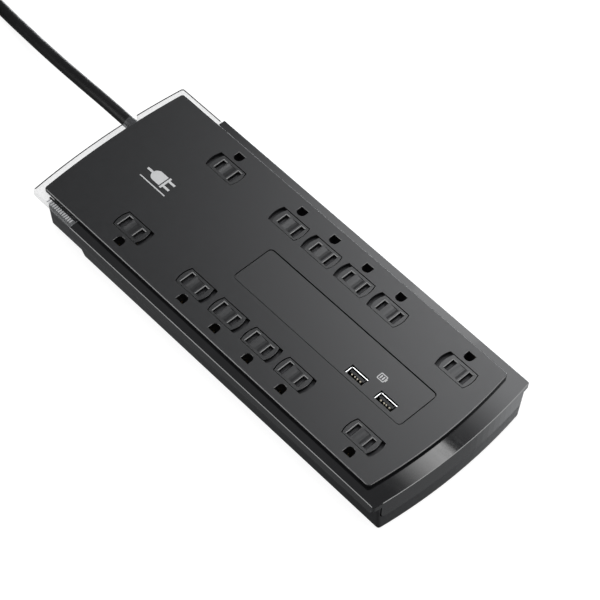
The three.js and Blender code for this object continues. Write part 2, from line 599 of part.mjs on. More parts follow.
// ---------------------------------------------------------------- fixings
function makeFixings() {
  SCREWS.forEach(([x, y], i) => {
    const under = y > REAR_STEP_Y ? FOOT + REAR_RAISE : FOOT;
    const z0 = under + 0.5;
    const profile = [[0, z0], [3, z0], [3, z0 + 1.4], [1.45, z0 + 1.8], [1.45, 29.2], [0, 30]];
    const screw = solid(lathe(profile, 14).rotateX(Math.PI / 2));
    const cross = [boxAt(0, 0, 4, 0.9, 0, z0 + 1), boxAt(0, 0, 0.9, 4, 0, z0 + 1)];
    put(`housing_screw_${i + 1}`, cut(screw, cross), 'steel', x, y);
  });
  FEET.forEach(([x, y], i) => {
    const profile = [[0, 0], [4.5, 0], [5, 0.5], [5, FOOT + 0.6], [0, FOOT + 0.6]];
    put(`foot_${i + 1}`, lathe(profile, 20).rotateX(Math.PI / 2), 'rubber', x, y);
  });
}

makeFacePlate();
makeLabelPanel();
makeBezelFrame();
makeIndicatorLens();
makeLowerHousing();
makeShutters();
for (const side of [-1, 1]) {
  const word = side < 0 ? 'left' : 'right';
  makeSocketCarrier(side);
  makeContactBus(`line_bus_${word}`, side, [SLOT_X - 3.9, SLOT_X - 0.9], side);
  makeContactBus(`neutral_bus_${word}`, side, [SLOT_X + 0.9, SLOT_X + 3.9], -side);
  makeGroundBus(side);
}
makeUsbPorts();
makeSurgeBoard();
makeSwitch();
makeStrainRelief();
makeCord();
makePlug();
makeFixings();

export default model;
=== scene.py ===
"""Looks for a twelve-outlet power strip: materials, small pieces, cord, camera and light.

Metres, in the CAD frame: +Y along the strip to the cord end, +Z up, origin on the table.
"""

import math

import bmesh
import bpy
from mathutils import Matrix, Vector


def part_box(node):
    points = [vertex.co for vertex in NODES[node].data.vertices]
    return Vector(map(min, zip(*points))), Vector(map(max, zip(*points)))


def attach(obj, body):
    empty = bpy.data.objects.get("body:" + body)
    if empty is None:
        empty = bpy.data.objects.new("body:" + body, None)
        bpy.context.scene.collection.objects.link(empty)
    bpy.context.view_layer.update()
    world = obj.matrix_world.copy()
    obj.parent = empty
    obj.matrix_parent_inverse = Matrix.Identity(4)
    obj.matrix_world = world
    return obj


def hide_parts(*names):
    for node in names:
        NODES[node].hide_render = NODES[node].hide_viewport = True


MM = 0.001

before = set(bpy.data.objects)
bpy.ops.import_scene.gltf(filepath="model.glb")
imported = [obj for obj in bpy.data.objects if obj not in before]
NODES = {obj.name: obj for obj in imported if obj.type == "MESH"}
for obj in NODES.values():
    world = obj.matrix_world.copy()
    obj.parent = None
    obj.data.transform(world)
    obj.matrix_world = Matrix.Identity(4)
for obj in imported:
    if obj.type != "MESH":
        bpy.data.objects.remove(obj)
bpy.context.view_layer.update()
STRIP = "strip"

# Heights and places read from the frame.
FACE_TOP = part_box("face_plate")[1][2]
PANEL_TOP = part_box("label_panel")[1][2]
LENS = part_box("indicator_lens")
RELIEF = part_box("strain_relief")
COIL_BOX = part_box("cord_coil")
PLUG_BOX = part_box("plug_body")

# The cord, as in the CAD part.
CORD_D = 8.4 * MM
CORD_EXIT = (19.9 * MM, 159.0 * MM, 25.5 * MM)
LEAD_ROUTE = [
    (19.9, 159.4, 25.5), (20.0, 170, 25.3), (20.3, 183, 24.7), (20.8, 197, 23.2), (21.5, 210, 21.5),
    (22.4, 224, 19.4), (23.6, 239, 17.1), (25.0, 253, 14.6), (26.6, 267, 12.1), (28.2, 281, 9.6),
    (29.8, 295, 7.3), (31.2, 306, 5.8), (32.5, 316, 4.8), (34.2, 330, 4.3),
]
TAIL_ROUTE = [(-56, 411, 12.8), (-62, 411, 12.8), (-69, 411, 12.7), (-76, 411, 12.6)]

# The coil: two layers of turns, wound in on the table and out again on top.
COIL_TURNS = 5.25
COIL_STEPS = 24  # points to a turn
COIL_DEPTH = 22.8 * MM  # from the outermost turn to the innermost
COIL_LAYERS = (4.25 * MM, 12.85 * MM)  # heights of the cord's middle
COIL_WIND = 0.47  # share of the cord over which each layer winds
COIL_CLIMB = (0.44, 0.12)  # where the step up starts and how long it takes, as shares
COIL_TIE_DEG = 215  # where the strap is
TIE_LIFT, TIE_REACH = 1.1 * MM, 0.32  # the lower turns rise over the strap, within this angle in radians

# A print starts just inside the surface it is on and stands a little proud of it.
INK_SINK = 0.02 * MM
INK_RISE = 0.04 * MM

# Only edges sharper than this are softened.
EDGE_DEG = 30


# ---------------------------------------------------------------- small tools
def link(name, data, body=STRIP):
    """Adds a piece to the scene that rides on a body."""
    piece = bpy.data.objects.new(name, data)
    bpy.context.scene.collection.objects.link(piece)
    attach(piece, body)
    return piece


def smooth(mesh, degrees=35):
    """Rounds the shading of everything flatter than the given angle."""
    for face in mesh.polygons:
        face.use_smooth = True
    mesh.set_sharp_from_angle(angle=math.radians(degrees))


def from_bmesh(name, bm, finish, body=STRIP, degrees=35):
    """Turns a finished bmesh into a smooth-shaded piece with one of MATERIALS."""
    mesh = bpy.data.meshes.new(name)
    bm.normal_update()
    bm.to_mesh(mesh)
    bm.free()
    smooth(mesh, degrees)
    mesh.materials.append(MATERIALS[finish])
    return link(name, mesh, body)


def even_normals(bm):
    bmesh.ops.recalc_face_normals(bm, faces=bm.faces)


def bevel(piece, width, segments=2):
    modifier = piece.modifiers.new("edge", "BEVEL")
    modifier.width = width
    modifier.segments = segments
    modifier.limit_method = "ANGLE"
    modifier.angle_limit = math.radians(EDGE_DEG)
    modifier.use_clamp_overlap = True
    modifier.harden_normals = True


def add_box(bm, low, high):
    size = Vector(high) - Vector(low)
    middle = (Vector(high) + Vector(low)) / 2
    place = Matrix.Translation(middle) @ Matrix.Diagonal((*size, 1))
    bmesh.ops.create_cube(bm, size=1, matrix=place)


def add_band(bm, one, two):
    """A band of quads between two rings with the same number of corners."""
    for i in range(len(one)):
        j = (i + 1) % len(one)
        bm.faces.new((one[i], one[j], two[j], two[i]))


def add_outline(bm, points, z0, z1):
    """A closed prism over the outline, which runs counter-clockwise."""
    low = [bm.verts.new((x, y, z0)) for x, y in points]
    high = [bm.verts.new((x, y, z1)) for x, y in points]
    bm.faces.new(list(reversed(low)))
    bm.faces.new(high)
    add_band(bm, low, high)


def rounded(x0, x1, y0, y1, r, steps=5):
    """The outline of a rectangle with rounded corners, counter-clockwise."""
    points = []
    corners = ((x1 - r, y0 + r, -90), (x1 - r, y1 - r, 0), (x0 + r, y1 - r, 90), (x0 + r, y0 + r, 180))
    for cx, cy, start in corners:
        for i in range(steps + 1):
            a = math.radians(start + 90 * i / steps)
            points.append((cx + r * math.cos(a), cy + r * math.sin(a)))
    return points


def add_lathe(bm, profile, matrix, segments=40):
    """Turns (radius, height) pairs about local Z. The profile starts and ends on the axis."""
    rings = []
    for radius, height in profile:
        if radius == 0:
            rings.append([bm.verts.new(matrix @ Vector((0, 0, height)))])
            continue
        ring = []
        for i in range(segments):
            a = 2 * math.pi * i / segments
            spot = Vector((radius * math.cos(a), radius * math.sin(a), height))
            ring.append(bm.verts.new(matrix @ spot))
        rings.append(ring)
    for one, two in zip(rings, rings[1:]):
        for i in range(segments):
            j = (i + 1) % segments
            corners = [one[i % len(one)], one[j % len(one)], two[j % len(two)], two[i % len(two)]]
            unique = list(dict.fromkeys(corners))
            if len(unique) > 2:
                bm.faces.new(unique)


# ---------------------------------------------------------------- materials
def new_material(name, color, roughness, metallic=0.0, specular=0.5):
    material = bpy.data.materials.new(name)
    material.use_nodes = True
    shader = material.node_tree.nodes["Principled BSDF"]
    shader.inputs["Base Color"].default_value = (*color, 1)
    shader.inputs["Roughness"].default_value = roughness
    shader.inputs["Metallic"].default_value = metallic
    shader.inputs["Specular IOR Level"].default_value = specular
    return material, material.node_tree, shader


def noise(tree, scale, detail=3.0, roughness=0.5, stretch=(1, 1, 1)):
    """Noise in object space, so that a scale is in features per metre."""
    place = tree.nodes.new("ShaderNodeTexCoord")
    mapping = tree.nodes.new("ShaderNodeMapping")
    mapping.inputs["Scale"].default_value = stretch
    texture = tree.nodes.new("ShaderNodeTexNoise")
    texture.inputs["Scale"].default_value = scale
    texture.inputs["Detail"].default_value = detail
    texture.inputs["Roughness"].default_value = roughness
    tree.links.new(place.outputs["Object"], mapping.inputs["Vector"])
    tree.links.new(mapping.outputs["Vector"], texture.inputs["Vector"])
    return texture.outputs["Fac"]


def scaled(color, factor):
    return tuple(c * factor for c in color)


def ramp(tree, fac, low, high, at=(0.35, 0.65)):
    """A value or colour that goes from low to high with fac."""
    node = tree.nodes.new("ShaderNodeValToRGB")
    for stop, place, tone in zip(node.color_ramp.elements, at, (low, high)):
        stop.position = place
        stop.color = (*tone, 1) if isinstance(tone, tuple) else (tone, tone, tone, 1)
    tree.links.new(fac, node.inputs["Fac"])
    return node.outputs["Color"]


def bump(tree, shader, height, strength, distance):
    node = tree.nodes.new("ShaderNodeBump")
    node.inputs["Strength"].default_value = strength
    node.inputs["Distance"].default_value = distance
    tree.links.new(height, node.inputs["Height"])
    tree.links.new(node.outputs["Normal"], shader.inputs["Normal"])


def plastic(name, color, rough, grain=2600, depth=0.03, mottle=0.04, specular=0.5):
    """Moulded plastic: a fine spark-eroded grain, with slight drift in tone and gloss."""
    material, tree, shader = new_material(name, color, rough, specular=specular)
    drift = noise(tree, 14, 2)
    darker, lighter = scaled(color, 1 - mottle * 2), scaled(color, 1 + mottle * 2)
    tree.links.new(ramp(tree, drift, darker, lighter), shader.inputs["Base Color"])
    sheen = noise(tree, 320, 4, 0.6)
    tree.links.new(ramp(tree, sheen, rough - mottle, rough + mottle), shader.inputs["Roughness"])
    bump(tree, shader, noise(tree, grain, 2, 0.6), depth, 0.00006)
    return material


def polished(name, color, rough=0.045):
    """Polished black plastic with faint rubbing marks."""
    material, tree, shader = new_material(name, color, rough)
    rubbed = noise(tree, 420, 5, 0.7, stretch=(1, 0.12, 1))
    tree.links.new(ramp(tree, rubbed, rough - 0.01, rough + 0.02, (0.4, 0.75)), shader.inputs["Roughness"])
    dust = noise(tree, 60, 4, 0.6)
    tree.links.new(ramp(tree, dust, color, scaled(color, 1.5), (0.45, 0.8)), shader.inputs["Base Color"])
    return material


def rubber(name, color, rough=0.5):
    """Soft vinyl: an even skin with a slight orange peel."""
    material, tree, shader = new_material(name, color, rough, specular=0.18)
    peel = noise(tree, 900, 3, 0.55)
    bump(tree, shader, peel, 0.08, 0.0001)
    tone = noise(tree, 30, 2)
    tree.links.new(ramp(tree, tone, scaled(color, 0.85), scaled(color, 1.2)), shader.inputs["Base Color"])
    tree.links.new(ramp(tree, noise(tree, 200, 3), rough - 0.05, rough + 0.06), shader.inputs["Roughness"])
    return material


def metal(name, color, rough, stretch):
    """Stamped, plated metal with rolling marks along one way."""
    material, tree, shader = new_material(name, color, rough, metallic=1.0)
    marks = noise(tree, 900, 5, 0.65, stretch)
    tree.links.new(ramp(tree, marks, rough - 0.07, rough + 0.12), shader.inputs["Roughness"])
    tarnish = noise(tree, 160, 3)
    tree.links.new(ramp(tree, tarnish, scaled(color, 0.86), color, (0.3, 0.6)), shader.inputs["Base Color"])
    bump(tree, shader, marks, 0.05, 0.00005)
    return material


def clear(name, color, alpha):
    """Clear moulded plastic that grows more opaque at glancing angles: painted shade standing in for the darkening
    that refraction gives its edges.
    """
    material, tree, shader = new_material(name, color, 0.06)
    # Alpha rises at glancing angles: painted shade for the dark edge that refraction gives clear plastic.
    edge = tree.nodes.new("ShaderNodeLayerWeight")
    edge.inputs["Blend"].default_value = 0.35
    tree.links.new(ramp(tree, edge.outputs["Facing"], alpha, min(1, alpha + 0.45), (0.45, 0.95)),
                   shader.inputs["Alpha"])
    flow = noise(tree, 90, 3)
    tree.links.new(ramp(tree, flow, 0.04, 0.1), shader.inputs["Roughness"])
    material.surface_render_method = "BLENDED"
    return material


def board(name):
    """Solder mask over copper tracks, which show as slightly raised, lighter lines."""
    material, tree, shader = new_material(name, (0.02, 0.11, 0.045), 0.35)
    place = tree.nodes.new("ShaderNodeTexCoord")
    brick = tree.nodes.new("ShaderNodeTexBrick")
    brick.inputs["Scale"].default_value = 90
    brick.inputs["Mortar Size"].default_value = 0.06
    brick.inputs["Color1"].default_value = (0.015, 0.1, 0.04, 1)
    brick.inputs["Color2"].default_value = (0.02, 0.13, 0.05, 1)
    brick.inputs["Mortar"].default_value = (0.05, 0.2, 0.09, 1)
    tree.links.new(place.outputs["Object"], brick.inputs["Vector"])
    tree.links.new(brick.outputs["Color"], shader.inputs["Base Color"])
    bump(tree, shader, brick.outputs["Fac"], 0.3, 0.00004)
    return material


MATERIALS = {
    "face": plastic("face_black", (0.005, 0.0051, 0.0057), 0.31, depth=0.015, mottle=0.02),
    "panel": plastic("panel_black", (0.0085, 0.0086, 0.0092), 0.31, depth=0.015, mottle=0.02),
    "housing": plastic("housing_black", (0.01, 0.0102, 0.011), 0.36, grain=2400, depth=0.06),
    "shutter": plastic("shutter_black", (0.0065, 0.0066, 0.0071), 0.3, depth=0.015, mottle=0.02),
    "inner": plastic("inner_black", (0.006, 0.006, 0.0065), 0.6),
    "bed": plastic("bed_grey", (0.011, 0.011, 0.012), 0.5, grain=1800, specular=0.3),
    "gloss": polished("gloss_black", (0.0042, 0.0042, 0.0048)),
    "clear": clear("clear_plastic", (0.4, 0.41, 0.42), 0.2),
    # Dark plastic for the line along the lens's outer edge: painted shade standing in for the refraction there.
    "refraction_shade_dark": plastic("refraction_shade_dark", (0.02, 0.0205, 0.021), 0.3, grain=900, depth=0.02),
    "rubber": rubber("cord_vinyl", (0.0035, 0.0035, 0.0038), 0.46),
    "boot": rubber("boot_vinyl", (0.034, 0.035, 0.037), 0.4),
    "foot": rubber("foot_rubber", (0.012, 0.012, 0.012), 0.7),
    "steel": metal("nickel_plate", (0.42, 0.425, 0.43), 0.22, stretch=(1, 1, 0.1)),
    "brass": metal("brass", (0.74, 0.56, 0.27), 0.24, stretch=(0.1, 1, 1)),
    "gold": plastic("contact_tin", (0.55, 0.5, 0.4), 0.3, grain=900, depth=0.02),
    "board": board("solder_mask"),
    "blue": plastic("dipped_blue", (0.03, 0.12, 0.4), 0.25, grain=700, depth=0.15),
    "yellow": plastic("case_yellow", (0.55, 0.42, 0.1), 0.3, grain=900, depth=0.05),
    "ferrite": plastic("ferrite", (0.025, 0.028, 0.027), 0.7, grain=1500, depth=0.3),
    "white": plastic("sleeve_white", (0.62, 0.6, 0.54), 0.5, grain=1500, depth=0.1),
    "print": plastic("pale_print", (0.42, 0.425, 0.43), 0.55, depth=0.02, mottle=0.02),
    # Grey for the lens ribs: a painted glint, standing in for the light the clear ribs catch.
    "rib_glint_grey": plastic("rib_glint_grey", (0.3, 0.303, 0.31), 0.4, depth=0.02, mottle=0.02),
}


def paint(node, finish, edge=None, segments=2):
    """Gives a CAD node its finish and, where edge is stated, its softened edges."""
    piece = NODES[node]
    piece.data.materials.clear()
    piece.data.materials.append(MATERIALS[finish])
    if edge:
        bevel(piece, edge, segments)


# ---------------------------------------------------------------- camera
def make_camera():
    """The main view: from the front left, looking down at about 55 degrees."""
    data = bpy.data.cameras.new("camera")
    data.sensor_width = 36
    data.lens = 137.45
    data.clip_end = 20
    camera = bpy.data.objects.new("camera", data)
    bpy.context.scene.collection.objects.link(camera)
    spot = Vector((-0.5634, -0.5813, 1.1543))
    aim = Vector((0.0090, -0.0135, 0.0200))
    turn = (aim - spot).to_track_quat("-Z", "Y").to_matrix().to_4x4()
    roll_deg = 2.68
    roll = Matrix.Rotation(math.radians(roll_deg), 4, "Z")
    camera.matrix_world = Matrix.Translation(spot) @ turn @ roll
    bpy.context.scene.camera = camera


# ---------------------------------------------------------------- cord, coil, tie and plug
def coil_points():
    """Two layers of a flat double spiral: inwards on the table, a step up, then outwards."""
    low, high = COIL_BOX
    middle = Vector(((low[0] + high[0]) / 2, (low[1] + high[1]) / 2))
    radius = CORD_D / 2
    outer = (high[0] - low[0]) / 2 - radius
    inner = outer - COIL_DEPTH
    under, over = COIL_LAYERS
    climb_start, climb_length = COIL_CLIMB
    tie = math.radians(COIL_TIE_DEG)
    total = int(COIL_TURNS * COIL_STEPS)
    points = []
    for i in range(total + 1):
        part = i / total
        turn = 2 * math.pi * COIL_TURNS * part
        climb = min(1, max(0, (part - climb_start) / climb_length))
        climb = climb * climb * (3 - 2 * climb)
        shrink = min(1, part / COIL_WIND) if part < 0.5 else min(1, (1 - part) / COIL_WIND)
        r = outer + (inner - outer) * shrink
        z = under + (over - under) * climb
        away = abs((turn - tie + math.pi) % (2 * math.pi) - math.pi)
        if climb < 0.5:
            z += TIE_LIFT * math.exp(-((away / TIE_REACH) ** 2)) * (1 - climb)
        points.append((middle[0] + r * math.cos(turn), middle[1] + r * math.sin(turn), z))
    return points


def make_cord():
    """The whole cord as one curve: out of the rear wall, round the coil and into the plug."""
    lead = [tuple(v * MM for v in p) for p in LEAD_ROUTE]
    tail = [tuple(v * MM for v in p) for p in TAIL_ROUTE]
    route = [CORD_EXIT] + lead + coil_points() + tail
    data = bpy.data.curves.new("mains_cord", "CURVE")
    data.dimensions = "3D"
    data.bevel_depth = CORD_D / 2
    data.bevel_resolution = 6
    data.resolution_u = 3
    data.use_fill_caps = True
    spline = data.splines.new("NURBS")
    spline.points.add(len(route) - 1)
    for point, place in zip(spline.points, route):
        point.co = (*place, 1)
    spline.use_endpoint_u = True
    spline.order_u = 3
    data.materials.append(MATERIALS["rubber"])
    cord = link("mains_cord", data)
    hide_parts("cord_lead", "cord_coil", "cord_tail")
    return cord


def make_tie():
    """A flat strap round one side of the coil."""
    low, high = COIL_BOX
    middle = ((low[0] + high[0]) / 2, (low[1] + high[1]) / 2)
    outer = (high[0] - low[0]) / 2
    inner = outer - 31.2 * MM  # the inner side of the innermost turn
    z0, z1 = 0.15 * MM, high[2] + 1.5 * MM
    thick = 1.05 * MM
    half_width = 5.9 * MM
    room = 2.3 * MM  # from the turns to the strap's outer face
    corner = 4.2 * MM
    bm = bmesh.new()
    shape = rounded(inner - room, outer + room, z0, z1, corner, 6)
    hole = rounded(inner - room + thick, outer + room - thick, z0 + thick, z1 - thick, corner - thick, 6)
    turn = Matrix.Translation((*middle, 0)) @ Matrix.Rotation(math.radians(COIL_TIE_DEG), 4, "Z")
    rings = []
    for y in (-half_width, half_width):
        rings.append([[bm.verts.new(turn @ Vector((x, y, z))) for x, z in ring] for ring in (shape, hole)])
    count = len(shape)
    (a_out, a_in), (b_out, b_in) = rings
    for i in range(count):
        j = (i + 1) % count
        bm.faces.new((a_out[j], a_out[i], b_out[i], b_out[j]))
        bm.faces.new((a_in[i], a_in[j], b_in[j], b_in[i]))
        bm.faces.new((a_out[i], a_out[j], a_in[j], a_in[i]))
        bm.faces.new((b_out[j], b_out[i], b_in[i], b_in[j]))
    tie = from_bmesh("cord_strap", bm, "inner")
    bevel(tie, 0.25 * MM)
    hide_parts("cord_tie")


def make_boot():
    """The moulded strain relief: a flange inside the wall, a waist, then a ribbed taper round the cord."""
    low, high = RELIEF
    x, z = CORD_EXIT[0], CORD_EXIT[2]
    place = Matrix.Translation((x, 0, z)) @ Matrix.Rotation(-math.pi / 2, 4, "X")
    y0, y1 = low[1] + 0.1 * MM, high[1] - 0.1 * MM
    cord_r = CORD_D / 2
    profile = [(0, y0), (4.3 * MM, y0), (4.5 * MM, y0 + 0.2 * MM), (4.5 * MM, y0 + 4.2 * MM)]
    ribs, pitch, groove = 5, 2.9 * MM, 0.22 * MM
    start = y0 + 4.6 * MM
    for i in range(ribs):
        y = start + i * pitch
        wide = (4.5 - 0.04 * i) * MM
        narrow = wide - groove
        profile += [(wide, y), (wide, y + 1.9 * MM), (narrow, y + 2.1 * MM), (narrow, y + 2.7 * MM)]
    profile += [(cord_r + 0.05 * MM, y1 - 0.1 * MM), (cord_r - 0.2 * MM, y1), (0, y1)]
    bm = bmesh.new()
    add_lathe(bm, profile, place)
    flange_r, flange_y0, flange_y1 = 4.6 * MM, y0 + 0.05 * MM, y0 + 2.6 * MM
    add_lathe(bm, [(0, flange_y0), (flange_r, flange_y0), (flange_r, flange_y1), (0, flange_y1)], place)
    even_normals(bm)
    boot = from_bmesh("cord_boot", bm, "boot", degrees=40)
    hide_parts("strain_relief")


def superellipse(a, b, power, steps=48):
    """An ellipse of half axes a and b that grows squarer as power rises above 2."""
    points = []
    for i in range(steps):
        t = 2 * math.pi * i / steps
        c, s = math.cos(t), math.sin(t)
        x = a * math.copysign(abs(c) ** (2 / power), c)
        y = b * math.copysign(abs(s) ** (2 / power), s)
        points.append((x, y))
    return points


def make_plug():
    """A moulded plug: a flat nose, finger grips at its sides and a ribbed neck round the cord."""
    low, high = PLUG_BOX
    cy, cz = (low[1] + high[1]) / 2, (low[2] + high[2]) / 2
    wide, tall = (high[1] - low[1]) / 2, (high[2] - low[2]) / 2
    nose, end = low[0], high[0]
    length = end - nose
    stations = [  # share of the length from the nose, half width share, half height share, squareness
        (0.0, 0.90, 0.90, 5.0), (0.012, 0.955, 0.955, 5.0), (0.05, 0.99, 0.99, 5.0), (0.16, 1.0, 1.0, 4.8),
        (0.26, 0.965, 0.995, 4.5), (0.36, 0.94, 0.985, 4.2), (0.46, 0.95, 0.97, 4.0), (0.54, 0.93, 0.93, 3.6),
        (0.60, 0.84, 0.85, 3.2), (0.65, 0.68, 0.70, 2.8), (0.69, 0.54, 0.565, 2.4), (0.73, 0.475, 0.5, 2.1),
        (0.76, 0.46, 0.48, 2.0), (0.785, 0.415, 0.435, 2.0), (0.81, 0.415, 0.435, 2.0), (0.825, 0.44, 0.46, 2.0),
        (0.85, 0.435, 0.455, 2.0), (0.865, 0.395, 0.41, 2.0), (0.89, 0.395, 0.41, 2.0), (0.905, 0.42, 0.44, 2.0),
        (0.93, 0.415, 0.43, 2.0), (0.945, 0.375, 0.39, 2.0), (0.99, 0.355, 0.375, 2.0), (1.0, 0.335, 0.35, 2.0),
    ]
    bm = bmesh.new()
    rings = []
    for share, w, h, power in stations:
        ring = [bm.verts.new((nose + share * length, cy + y, cz + z))
                for y, z in superellipse(wide * w, tall * h, power)]
        rings.append(ring)
    bm.faces.new(list(reversed(rings[0])))
    bm.faces.new(rings[-1])
    for one, two in zip(rings, rings[1:]):
        add_band(bm, one, two)
    # Finger grips: three shallow bars on each side.
    bar_x, bar_y, bar_z = 1.3 * MM, 0.35 * MM, 7 * MM  # width, and half of depth and height
    for side in (-1, 1):
        for k in range(3):
            x = nose + (0.24 + 0.075 * k) * length
            y = cy + side * (wide * 0.965)
            add_box(bm, (x, y - bar_y, cz - bar_z), (x + bar_x, y + bar_y, cz + bar_z))
    even_normals(bm)
    plug = from_bmesh("plug_moulding", bm, "rubber", degrees=40)
    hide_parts("plug_body")
    return plug


# ---------------------------------------------------------------- prints and small details
def add_flat_ring(bm, points_out, points_in, z0, z1):
    """A closed prism between two outlines with the same number of corners."""
    count = len(points_out)
    rings = [[bm.verts.new((x, y, z)) for x, y in points]
             for z in (z0, z1) for points in (points_out, points_in)]
    low_out, low_in, high_out, high_in = rings
    for i in range(count):
        j = (i + 1) % count
        bm.faces.new((low_out[i], low_out[j], high_out[j], high_out[i]))
        bm.faces.new((low_in[j], low_in[i], high_in[i], high_in[j]))
        bm.faces.new((high_out[i], high_out[j], high_in[j], high_in[i]))
        bm.faces.new((low_out[j], low_out[i], low_in[i], low_in[j]))


def rectangle(u0, u1, v0, v1):
    return [(u0, v0), (u1, v0), (u1, v1), (u0, v1)]


def turned(points, x, y):
    """Marks are drawn reading along +X and turned to read along -Y, towards the front end."""
    return [(x + v * MM, y - u * MM) for u, v in points]


def circle(u, v, r, steps=28, start=0.0, end=360.0):
    """Points round a circle, or along an arc of it with both ends."""
    full = end - start >= 360
    angles = [math.radians(start + (end - start) * i / steps) for i in range(steps if full else steps + 1)]
    return [(u + r * math.cos(a), v + r * math.sin(a)) for a in angles]


def make_plug_mark():
    """A printed pictogram of a plug and its cord near the cord end, over a thin rule."""
    x, y = 1.0 * MM, 105.3 * MM
    z0, z1 = FACE_TOP - INK_SINK, FACE_TOP + INK_RISE
    body = [(-3.5, -4.2), (2.6, -4.2), (2.6, 4.2), (-3.5, 4.2)] + circle(-3.5, 0, 4.2, 16, 90, 270)[1:-1]
    collar = rectangle(3.4, 5.0, -4.9, 4.9)
    prongs = [rectangle(5.0, 10.2, 1.7, 3.3), rectangle(5.0, 10.2, -3.3, -1.7)]
    cord_end = rectangle(-12.4, -7.6, -0.8, 0.8)
    rule = rectangle(-11.5, 11.5, -7.6, -6.8)
    bm = bmesh.new()
    for shape in (body, collar, *prongs, cord_end, rule):
        add_outline(bm, turned(shape, x, y), z0, z1)
    even_normals(bm)
    from_bmesh("plug_mark", bm, "print")


def make_charge_mark():
    """A printed battery with two bars, beside the charging ports."""
    x, y = 0.5 * MM, -93.4 * MM
    z0, z1 = PANEL_TOP - INK_SINK, PANEL_TOP + INK_RISE
    bm = bmesh.new()
    outer = turned(rounded(-3.1, 2.4, -2.5, 2.5, 0.7), x, y)
    inner = turned(rounded(-2.5, 1.8, -1.9, 1.9, 0.4), x, y)
    add_flat_ring(bm, outer, inner, z0, z1)
    terminal = rectangle(2.5, 3.1, -1.1, 1.1)
    bars = [rectangle(u, u + 0.9, -1.3, 1.3) for u in (-1.7, 0.1)]
    for shape in (terminal, *bars):
        add_outline(bm, turned(shape, x, y), z0, z1)
    even_normals(bm)
    from_bmesh("charge_mark", bm, "print")


def make_lens_ribs():
    """Fine ribs on the left ledge of the clear end piece, painted grey for the glints they catch, and a black strip
    of painted shade between them and the plate.
    """
    low, high = LENS
    sink = 0.05 * MM
    z0, z1 = high[2] - sink, high[2] + 0.22 * MM
    x = low[0] + 1.75 * MM  # the middle of the ledge
    half_length, width, corner = 1.5 * MM, 1.05 * MM, 0.3 * MM
    bm = bmesh.new()
    for i in range(13):
        y = (118.6 + 1.8 * i) * MM
        add_outline(bm, rounded(x - half_length, x + half_length, y, y + width, corner, 3), z0, z1)
    even_normals(bm)
    from_bmesh("lens_ribs", bm, "rib_glint_grey")
    # A black strip of painted shade, where the plate's side wall shades the ledge.
    bm = bmesh.new()
    add_box(bm, (x + 1.6 * MM, 117.2 * MM, high[2] - sink), (x + 2.9 * MM, 142.5 * MM, high[2] + 0.04 * MM))
    from_bmesh("lens_ledge_painted_shade", bm, "inner")


def make_lens_edge_painted_shade():
    """A painted dark line along the clear end piece's outer edge, on both sides of the cord: painted shade standing
    in for the refraction at that edge.
    """
    half, rear, top = LENS[1]
    rise, wide = 3.6 * MM, 0.75 * MM  # of the bowed rear end, and of the line
    radius = (half * half + rise * rise) / (2 * rise)
    z0, z1 = top - 0.05 * MM, top + 0.03 * MM
    left, right = CORD_EXIT[0] - 5.4 * MM, CORD_EXIT[0] + 5.4 * MM
    corner = 1.2 * MM
    side_start = 117.5 * MM
    steps = 32
    bm = bmesh.new()
    for start, end in ((half - corner, right), (left, corner - half)):
        outer = []
        for i in range(steps + 1):
            x = start + (end - start) * i / steps
            outer.append((x, rear - radius + math.sqrt(radius * radius - x * x)))
        inner = [(x * (1 - wide / half), y - wide) for x, y in outer]
        if start > half / 2:
            # On the right the line turns the corner and runs forward along the side.
            outer = [(half, side_start), (half, outer[0][1] - corner)] + outer
            inner = [(half - wide, side_start), (half - wide, inner[0][1] - 0.8 * MM)] + inner
        add_outline(bm, outer + inner[::-1], z0, z1)
    even_normals(bm)
    from_bmesh("lens_edge_painted_shade", bm, "refraction_shade_dark")


def make_usb_contacts(index):
    """Four sprung contacts that bulge from the tongue of a charging port."""
    low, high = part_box(f"usb_tongue_{index}")
    middle = (low[1] + high[1]) / 2
    x0, x1 = low[0] - 0.75 * MM, low[0] + 0.05 * MM
    z0, z1 = high[2] - 1.6 * MM, high[2] - 0.5 * MM
    half_width = 0.5 * MM
    bm = bmesh.new()
    for place in (-3.5, -1.0, 1.0, 3.5):
        y = middle + place * MM
        add_box(bm, (x0, y - half_width, z0), (x1, y + half_width, z1))
    contacts = from_bmesh(f"usb_contacts_{index}", bm, "gold")
    bevel(contacts, 0.2 * MM)


def make_rocker_marks():
    """The usual bar and ring that show on and off, printed on the rocker's two halves."""
    pivot = Vector((-22 * MM, 143.5 * MM, 15.6 * MM))
    rest_deg, half_deg = -11, 18  # the tilt at rest, and the slope of each half
    out, rise = 4.55 * MM, 1.96 * MM  # from the pivot to the middle of each half's face
    tall, thin = 1.6 * MM, 0.3 * MM  # the ring's radius and half the bar's height, and half its width
    z0, z1 = -0.05 * MM, 0.09 * MM
    bm = bmesh.new()
    face = Matrix.Translation(pivot) @ Matrix.Rotation(math.radians(rest_deg), 4, "Z")
    for side in (-1, 1):
        slope = math.radians(side * half_deg)
        seat = face @ Matrix.Translation((side * out, rise, 0)) @ Matrix.Rotation(slope, 4, "Z")
        lay = seat @ Matrix.Rotation(-math.pi / 2, 4, "X")
        start = len(bm.verts)
        if side < 0:
            add_box(bm, (-thin, -tall, z0), (thin, tall, z1))
        else:
            add_flat_ring(bm, circle(0, 0, tall), circle(0, 0, 1.05 * MM), z0, z1)
        bm.verts.ensure_lookup_table()
        for vert in bm.verts[start:]:
            vert.co = lay @ vert.co
    even_normals(bm)
    from_bmesh("rocker_marks", bm, "print", "rocker")


